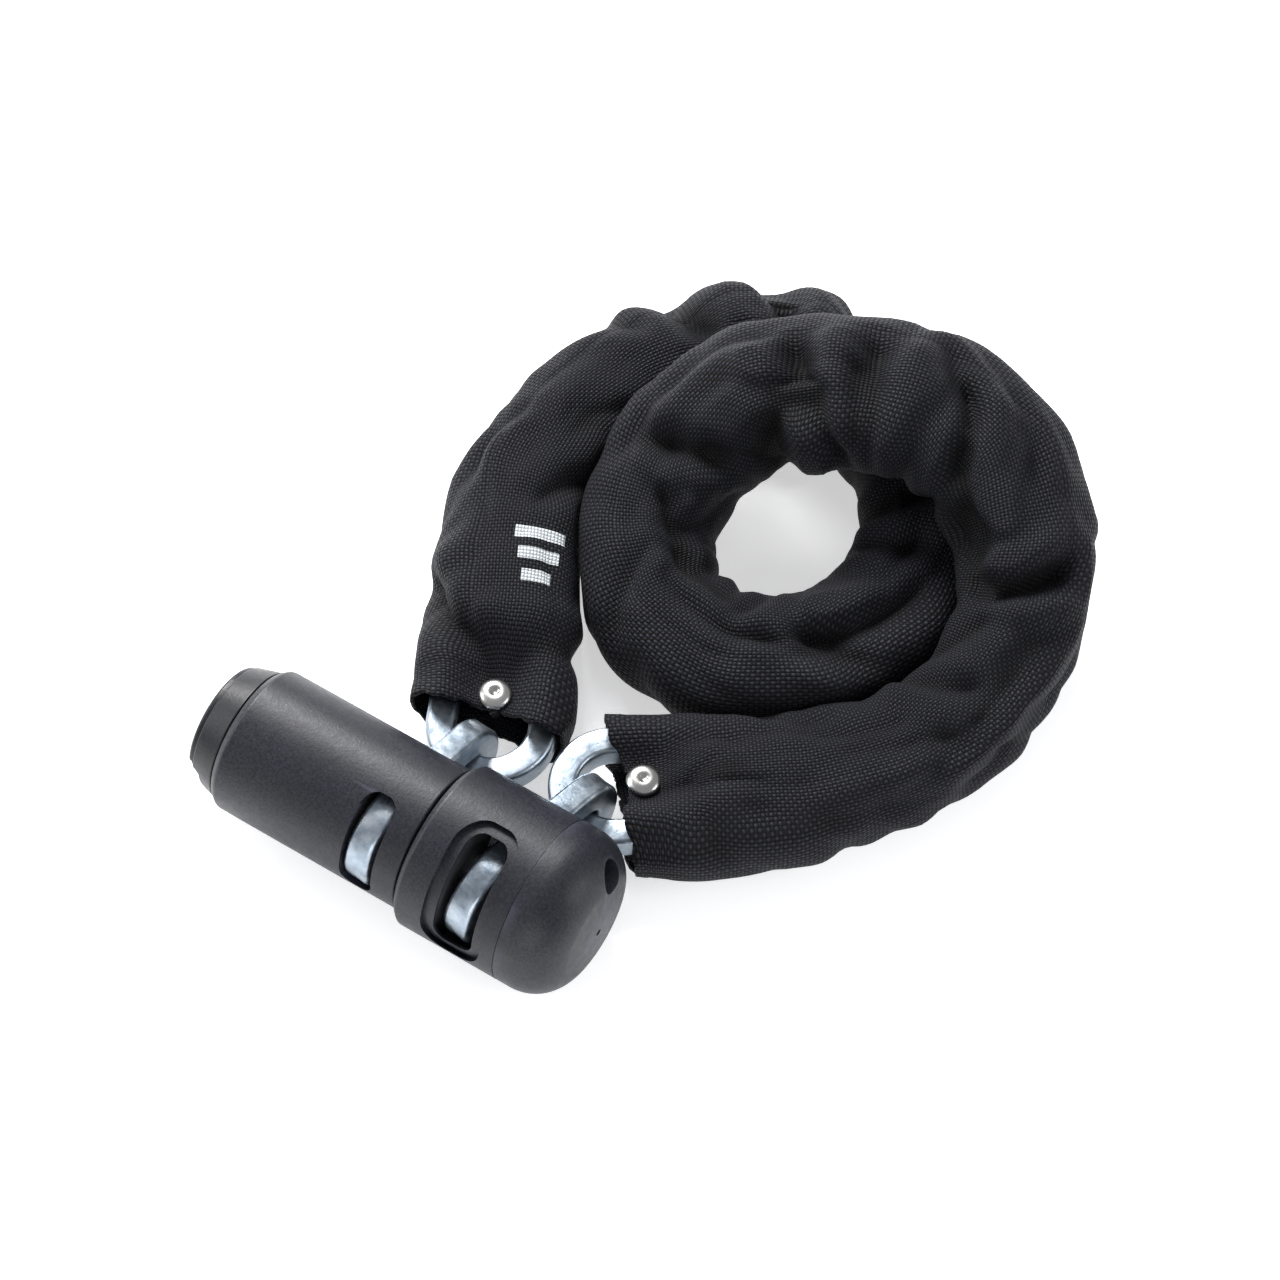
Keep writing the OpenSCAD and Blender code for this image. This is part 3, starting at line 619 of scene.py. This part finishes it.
def cloth_radius(s, ang, flat):
    """The cloth's radius over (ring, angle), in mm, and how far into a fold each point lies, 0 to 1, which
    sets its painted shade.
    """
    ca, sa = np.cos(np.radians(ang))[None, :], np.sin(np.radians(ang))[None, :]
    outer, inner, above, below = (np.interp(s, SPREAD[:, 0], SPREAD[:, k])[:, None] for k in range(1, 5))
    w, h = np.where(ca > 0, outer, inner), np.where(sa > 0, above, below)
    p = (2.35 + 0.9 * flat)[:, None]
    r = (np.abs(ca / w) ** p + np.abs(sa / h) ** p) ** (-1 / p)

    lumps = np.array([[slack(si, math.radians(a)) for a in ang] for si in s[::2]])
    lumps = np.stack([np.interp(s, s[::2], lumps[:, k]) for k in range(SIDES)], 1)
    quiet = (1 - 0.75 * flat)[:, None]
    grid_s, grid_a = np.broadcast_arrays(s[:, None], ang[None, :])
    folds = FOLDS + random_folds()
    field = fold_field(grid_s, grid_a, folds) + fold_field(grid_s, grid_a - 360, folds)
    # Painted shade: how far into a fold each point lies sets how much the cloth's colour is darkened there.
    painted_shade = np.clip(-field / 3.6, 0, 1) * quiet
    gathered = 1 - 0.8 * np.clip(-ca, 0, 1) * np.clip(turning(s) * 34, 0, 1)[:, None]
    r = r + quiet * gathered * (lumps + np.clip(field, -6.0, 3.0))
    least = chain_reach(grid_s, grid_a) + CLOTH_GAP
    r = least + soft_step(r - least, 1.2)

    seam = np.exp(-(((grid_a - SEAM_ANGLE + 180) % 360 - 180) * 0.33 / 1.1) ** 2)
    return r - 0.45 * quiet * seam, painted_shade


def shape_mouths(s, ang, x, z):
    """Lobes beside each rivet, a hem, and a slanted, notched and slightly frayed end.

    Gives the new heights and how far each point moves along the route."""
    edge = np.minimum(s, LENGTH - s)
    from_rivet = edge[:, None] - (RIVET_REACH - 1.5)
    near = np.exp(-(np.maximum(from_rivet, 0) / 11.0) ** 2) * (edge < 40)[:, None]
    lobes = -0.40 * np.exp(-(x / 8.0) ** 4) + 0.30 * np.exp(-((np.abs(x) - 14.5) / 4.5) ** 2)
    z = z * (1 + lobes * near)
    hem = np.clip((4.2 - edge[:, None]) / 0.6, 0, 1)
    z = z + np.sign(z) * 0.45 * hem

    first_half = (s < LENGTH / 2)[:, None]
    slant = np.where(first_half, -1.0, 1.0) * ease(1 - edge / 16)[:, None]
    frayed = np.array([noise.noise(Vector((a / 9.0, 0.3, 0))) + 0.6 * noise.noise(Vector((a / 2.5, 4.3, 0)))
                       for a in ang])[None, :]
    end = np.where(first_half, 1.0, -1.0) * np.clip(1 - edge / 1.6, 0, 1)[:, None]
    depth = np.where(first_half, 1.6, 2.8) * (np.sin(np.radians(ang))[None, :] > 0)
    notch = depth * np.exp(-(x / 5.5) ** 2) - 1.2 * np.exp(-((np.abs(x) - 15) / 5) ** 2)
    shift = slant * -0.19 * x + end * 1.1 * frayed - slant * notch * ease(1 - edge / 12)[:, None]
    return z, shift


def press_turns(s, c, pts, painted_shade):
    """Where two turns touch, the cloth of each is pressed flat against the plane between them."""
    far = np.abs(s[:, None] - s[None, :]) > TURN_APART
    for i in range(len(s)):
        near = np.where(far[i] & (np.linalg.norm(c - c[i], axis=1) < TURN_REACH))[0]
        if len(near) == 0:
            continue
        gap = np.linalg.norm(pts[i][:, None, :] - c[near][None, :, :], axis=2)
        best = near[np.argmin(gap, axis=1)]
        direction = c[best] - c[i]
        length = np.linalg.norm(direction, axis=1)
        direction /= length[:, None]
        reach = ((pts[i] - c[i]) * direction).sum(1)
        mine, other = np.interp(s[i], *SHARE.T), np.interp(s[best], *SHARE.T)
        excess = reach - (length * mine / (mine + other) - 0.35)
        pts[i] -= direction * soft_step(excess, 1.2)[:, None]
        # Painted shade: where the turns press together, the cloth is also marked to be darkened.
        painted_shade[i] = np.maximum(painted_shade[i], np.clip((excess + 3.0) / 4.5, 0, 1))


def sleeve_surface():
    """The rings' places along the route, their angles, their points in mm, and how far into a fold each lies,
    also where turns touch, which sets the painted shade.
    """
    s = np.concatenate([np.linspace(0, 16, 15)[:-1], np.arange(16, LENGTH - 16, STEP),
                        np.linspace(LENGTH - 16, LENGTH, 15)])
    ang = np.arange(SIDES) * 360.0 / SIDES
    c = centre_line(s)
    t, n, up = ring_directions(s)
    flat = 1 - ease((np.minimum(s, LENGTH - s) - 12) / 20)
    r, painted_shade = cloth_radius(s, ang, flat)
    x, z = r * np.cos(np.radians(ang))[None, :], r * np.sin(np.radians(ang))[None, :]
    z, shift = shape_mouths(s, ang, x, z)
    pts = (c[:, None, :] + n[:, None, :] * x[..., None] + up[:, None, :] * z[..., None]
           + t[:, None, :] * shift[..., None])
    press_turns(s, c, pts, painted_shade)

    # The floor pushes up what would lie lower than `low`, by three quarters of the difference.
    low = 1.0
    z = pts[..., 2]
    pts[..., 2] = np.where(z < low, np.maximum(0.12, low - (low - z) * 0.25), z)
    return s, ang, pts, painted_shade


def sleeve_piece(name, surface, first, last, tuck=None):
    """The sleeve from `first` to `last` as one cloth with thickness, drawn in a little past `tuck`."""
    s, ang, pts, painted_shade = surface
    keep = np.where((s >= first - 1e-6) & (s <= last + 1e-6))[0]
    rings = pts[keep].copy()
    ks = s[keep]
    if tuck is not None:
        mid = rings.mean(axis=1, keepdims=True)
        inward = np.clip((ks - tuck) / 4.0, 0, 1)[:, None, None] * 0.05
        rings = rings + (mid - rings) * inward
    count = len(ks)
    verts = (rings * MM).reshape(-1, 3)
    faces, uvs = [], []
    u = [GIRTH * a / 360 for a in ang] + [GIRTH]
    for i in range(count - 1):
        v0, v1 = ks[i] * MM, ks[i + 1] * MM
        for k in range(SIDES):
            m = (k + 1) % SIDES
            faces.append((i * SIDES + k, i * SIDES + m, (i + 1) * SIDES + m, (i + 1) * SIDES + k))
            uvs.append(((u[k], v0), (u[k + 1], v0), (u[k + 1], v1), (u[k], v1)))
    obj = mesh_object(name, verts, faces, uvs, smooth=True)
    face_outwards(obj)
    # The painted-shade amount is stored as the crease attribute, which the cloth material turns into darker
    # colour.
    crease = obj.data.attributes.new("crease", "FLOAT", "POINT")
    crease.data.foreach_set("value", painted_shade[keep].ravel().astype(np.float32))
    mod = obj.modifiers.new("cloth", "SOLIDIFY")
    mod.thickness = 1.0 * MM
    mod.offset = -1.0
    mod.use_rim = True
    apply_modifiers(obj)
    obj.data.polygons.foreach_set("use_smooth", [True] * len(obj.data.polygons))
    return obj


def add_sleeve():
    surface = sleeve_surface()
    split = surface[0][np.argmin(np.abs(surface[0] - SPLIT_S))]
    strand = sleeve_piece("sleeve_cloth_strand", surface, 0, split + LAP, tuck=split)
    coil = sleeve_piece("sleeve_cloth_coil", surface, split, LENGTH)
    strand.data.materials.append(woven_material("woven_cloth_printed", True))
    coil.data.materials.append(woven_material("woven_cloth", False))
    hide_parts("sleeve_strand")
    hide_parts("sleeve_coil")
    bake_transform(strand)
    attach(coil, ROOT)


# ---------------------------------------------------------------- links

def link_mesh(name, w, l, side, matrix, seed):
    """A forged square-wire link with rounded corners and a slightly uneven surface."""
    corner, half = 1.35, side / 2
    section = []
    for cx, cy, a0 in ((1, 1, 0), (-1, 1, 90), (-1, -1, 180), (1, -1, 270)):
        for k in range(5):
            a = math.radians(a0 + 90 * k / 4)
            section.append((cx * (half - corner) + corner * math.cos(a),
                            cy * (half - corner) + corner * math.sin(a)))
        a = math.radians(a0 + 90)
        section.append(((half - 0.12) * math.cos(a), (half - 0.12) * math.sin(a)))
    bend, straight = (w - side) / 2, (l - w) / 2
    path = []
    for end in (1, -1):
        for k in range(33):
            a = math.pi * k / 32 + (0 if end > 0 else math.pi)
            path.append((bend * math.cos(a), end * straight + bend * math.sin(a), math.cos(a), math.sin(a)))
        x = -end * bend
        for k in range(1, 10):
            y = end * straight * (1 - 2 * k / 10)
            path.append((x, y, math.cos(math.pi if end > 0 else 0), 0.0))
    n, m = len(path), len(section)
    verts = []
    for px, py, ox, oy in path:
        for q, z in section:
            point = Vector((px + q * ox, py + q * oy, z))
            bump = noise.noise(point * 0.16 + Vector((seed, 0, 0))) * 0.16 + noise.noise(point * 0.6) * 0.05
            point += Vector((q * ox, q * oy, z)).normalized() * bump
            verts.append((matrix @ point) * MM)
    faces = [(i * m + k, i * m + (k + 1) % m, ((i + 1) % n) * m + (k + 1) % m, ((i + 1) % n) * m + k)
             for i in range(n) for k in range(m)]
    obj = mesh_object(name, verts, faces, smooth=True)
    face_outwards(obj)
    return obj


def turn(axis, degrees):
    return Matrix.Rotation(math.radians(degrees), 4, axis)


def end_link_matrix(x, skew, tilt, rear, length):
    return (Matrix.Translation((x, 0, AXIS_Z)) @ turn("Z", skew) @ turn("X", -tilt)
            @ Matrix.Translation((0, rear + 15 - length / 2, 0)) @ turn("Y", 90))


def mouth_link_matrix(xy, direction):
    return Matrix.Translation((*xy, MOUTH_Z)) @ turn("Z", direction - 90) @ Matrix.Translation((0, 8, 0))


def add_links(steel):
    made = (
        ("link_through_housing", 30, 61, end_link_matrix(-12.6, -3.6, 20, 25.5, 61), "end_link_a", "housing"),
        ("link_through_head", 30, 64.5, end_link_matrix(20.6, -8, 17.9, 28.7, 64.5), "end_link_b", ROOT),
        ("link_at_strand_mouth", 36, 52, mouth_link_matrix(MOUTH_A, MOUTH_A_DIR), "mouth_link_a", "strand"),
        ("link_at_coil_mouth", 36, 52, mouth_link_matrix(MOUTH_B, MOUTH_B_DIR), "mouth_link_b", ROOT))
    for seed, (name, w, l, matrix, node, body) in enumerate(made):
        obj = link_mesh(name, w, l, 8.0, matrix, 3.7 * seed)
        obj.data.materials.append(steel)
        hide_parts(node)
        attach(obj, body)


# ---------------------------------------------------------------- rivets

def spin_up(name, profile, centre, segments=40):
    """Turns (r, z) points about a vertical line through `centre`, in mm."""
    verts = []
    closed = profile[0][0] > 0
    for k in range(segments):
        a = 2 * math.pi * k / segments
        for r, z in profile:
            verts.append(((centre[0] + r * math.cos(a)) * MM, (centre[1] + r * math.sin(a)) * MM, z * MM))
    faces = turned_faces(len(profile), segments, closed)
    obj = mesh_object(name, verts, faces)
    face_outwards(obj, weld=True)
    shade(obj, 50)
    return obj


def add_rivets(nickel):
    for tag, xy, direction, body in (("a", MOUTH_A, MOUTH_A_DIR, "strand"),
                                     ("b", MOUTH_B, MOUTH_B_DIR, ROOT)):
        a = math.radians(direction)
        centre = (xy[0] + RIVET_REACH * math.cos(a), xy[1] + RIVET_REACH * math.sin(a))
        top, low = MOUTH_Z + 5.7, MOUTH_Z - 5.7
        head = [(0, top + 1.35), (0.7, top + 1.4), (1.15, top + 1.75), (1.7, top + 1.95), (2.7, top + 1.85),
                (3.8, top + 1.5), (4.5, top + 1.0), (4.8, top + 0.45), (4.75, top + 0.05), (4.2, top - 0.25),
                (2.0, top - 0.3), (2.0, low - 1.1), (1.5, low - 1.4), (0, low - 1.4)]
        burr = [(2.05, low - 1.1), (3.2, low - 1.25), (4.4, low - 0.95), (4.75, low - 0.5), (4.6, low + 0.1),
                (2.05, low + 0.25)]
        for name, profile, node in (("rivet_head_" + tag, head, "rivet_" + tag),
                                    ("rivet_ferrule_" + tag, burr, "rivet_%s_burr" % tag)):
            obj = spin_up(name, profile, centre)
            obj.data.materials.append(nickel)
            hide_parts(node)
            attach(obj, body)


# ---------------------------------------------------------------- barrel

def window_cutter(name, x, angle, w, l, grow=0.0, z1=34):
    matrix = Matrix.Translation((x, 0, AXIS_Z)) @ turn("X", -angle) @ turn("X", 90)
    return prism(name, rounded_outline(w + 2 * grow, l + 2 * grow, 4.0 + grow, 10), 3.0, z1, matrix)


def slot_cutter(name, x, skew, tilt, w):
    matrix = Matrix.Translation((x, 0, AXIS_Z)) @ turn("Z", skew) @ turn("X", -tilt) @ turn("X", -90)
    return prism(name, rounded_outline(w, 32, 1.6, 6), 0, 34, matrix)


def rounded(profile, radius, steps=5):
    """Rounds the corners of a profile that are marked with True."""
    out = []
    n = len(profile)
    for i, (x, r, mark) in enumerate(profile):
        if not mark:
            out.append((x, r))
            continue
        here = np.array((x, r))
        before = np.array(profile[i - 1][:2]) - here
        after = np.array(profile[(i + 1) % n][:2]) - here
        cut_back = min(radius, np.hypot(*before) / 2.2, np.hypot(*after) / 2.2)
        p0 = here + before / np.hypot(*before) * cut_back
        p2 = here + after / np.hypot(*after) * cut_back
        for k in range(steps + 1):
            t = k / steps
            out.append(tuple((1 - t) ** 2 * p0 + 2 * t * (1 - t) * here + t * t * p2))
    return out


def add_barrel(plastic, tail_plastic):
    housing = lathe("housing_shell", rounded([
        (-61, 17.2, False), (-61, 19.4, True), (-59, 21, True), (-1, 21, True), (-1, 19, True),
        (-57, 19, False), (-57, 17.2, False)], 0.7))
    cut(housing, window_cutter("w", -13.3, 33, 10, 30.2), slot_cutter("s", -12.6, -3.6, 20, 10))
    soften(housing, 0.35, 3)

    head = lathe("head_shell", rounded([
        (0, 21.5, False), (0, 22.5, True), (1.5, 24, True), (32, 24, False), (32, 21.5, False)], 0.6))
    ring = lathe("r", [(-1, 22.5), (33, 22.5), (33, 30), (-1, 30)])
    recess = window_cutter("w", 18.6, 42, 12, 33, 3.2, 28)
    cut(ring, recess, operation="INTERSECT")
    cut(head, ring, window_cutter("w", 18.6, 42, 12, 33), slot_cutter("s", 20.6, -8, 17.9, 11))
    soften(head, 0.35, 3)

    shoulder = [(32 + 18 - 13.6 + 13 * math.sin(math.radians(a)), 11 + 13 * math.cos(math.radians(a)))
                for a in range(0, 80, 4)]
    dome = lathe("domed_cap", [(32.12, 0), (32.12, 23.9), (32.3, 24)] + shoulder + [(49.75, 7), (50, 0)])
    pin_hole = lathe("h", [(44, 0), (44, 1), (52, 1), (52, 0)], segments=24)
    screw_hole = lathe("h", [(36, 0), (36, 4.3), (54, 4.3), (54, 0)], centre=(10, 13), segments=64)
    shank_hole = lathe("h", [(31, 0), (31, 2.0), (37, 2.0), (37, 0)], centre=(10, 13), segments=32)
    cut(dome, pin_hole, screw_hole, shank_hole)
    soften(dome, 0.3, 2)

    tail = lathe("tail_ring", rounded([
        (-68.5, 8, True), (-68.5, 17.2, True), (-61.15, 19.35, True), (-61.15, 17.0, False),
        (-57.05, 17.0, False), (-57.05, 8, False)], 0.5))
    notch = prism("n", rounded_outline(5.4, 5.4, 2.6, 10), -6, 6,
                  Matrix.Translation((-68.5, 0, AXIS_Z)) @ turn("X", 12) @ Matrix.Translation((0, -18.2, 0)))
    cut(tail, notch)
    soften(tail, 0.3, 2)

    disc = lathe("keyway_disc", rounded([
        (-70.5, 0, False), (-70.5, 15.9, True), (-69.8, 16.6, True), (-68.62, 16.6, False),
        (-68.62, 0, False)], 0.4))
    thumb = prism("n", rounded_outline(5.0, 5.0, 2.4, 10), -7, 7,
                  Matrix.Translation((-70.9, 0, AXIS_Z)) @ turn("X", 12) @ Matrix.Translation((0, -17.0, 0)))
    pin = lathe("h", [(-72, 0), (-72, 1.52), (-66, 1.52), (-66, 0)], centre=(0, 11.5), segments=32)
    cut(disc, thumb, pin)
    soften(disc, 0.22, 2)

    for obj, node, body, material, slot in (
            (housing, "housing_cover", "housing", plastic, "dark_plastic"),
            (head, "head_cover", ROOT, plastic, "dark_plastic"),
            (dome, "end_cap", ROOT, plastic, "dark_plastic"),
            (tail, "tail_cap", "housing", tail_plastic, "tail_plastic"),
            (disc, "keyway_cover", "keyway_cover", tail_plastic, "tail_plastic")):
        obj.data.materials.clear()
        obj.data.materials.append(material)
        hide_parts(node)
        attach(obj, body)


# ---------------------------------------------------------------- build

add_camera()
add_studio()
materials = {
    "dark_plastic": moulded_material("moulded_cover", (0.0145, 0.0155, 0.0220), (0.0205, 0.0215, 0.0310),
                                     0.45, 0.00007),
    "tail_plastic": moulded_material("moulded_tail", (0.0080, 0.0085, 0.0115), (0.0115, 0.0120, 0.0165),
                                     0.40, 0.00005),
    "core_alloy": metal_material("cast_core", (0.10, 0.10, 0.11), (0.16, 0.16, 0.17), 0.50, 500.0, 0.00006),
    "hard_steel": metal_material("ground_steel", (0.48, 0.50, 0.53), (0.60, 0.62, 0.65), 0.28),
    "plated_steel": plated_material(),
    "brass": metal_material("machined_brass", (0.62, 0.46, 0.20), (0.78, 0.62, 0.32), 0.30),
    "spring_steel": metal_material("spring_wire", (0.35, 0.36, 0.38), (0.46, 0.47, 0.49), 0.35),
    "nickel": metal_material("nickel_plate", (0.44, 0.43, 0.41), (0.58, 0.57, 0.55), 0.24, 200.0, 0.00001),
    "woven_cloth": None}
for entry in frame["record"]["subparts"]:
    material = materials[entry["material_slot"]]
    if material is not None:
        node = frame["nodes"][entry["node"]]
        node.data.materials.clear()
        node.data.materials.append(material)
add_sleeve()
add_links(materials["plated_steel"])
add_rivets(materials["nickel"])
add_barrel(materials["dark_plastic"], materials["tail_plastic"])
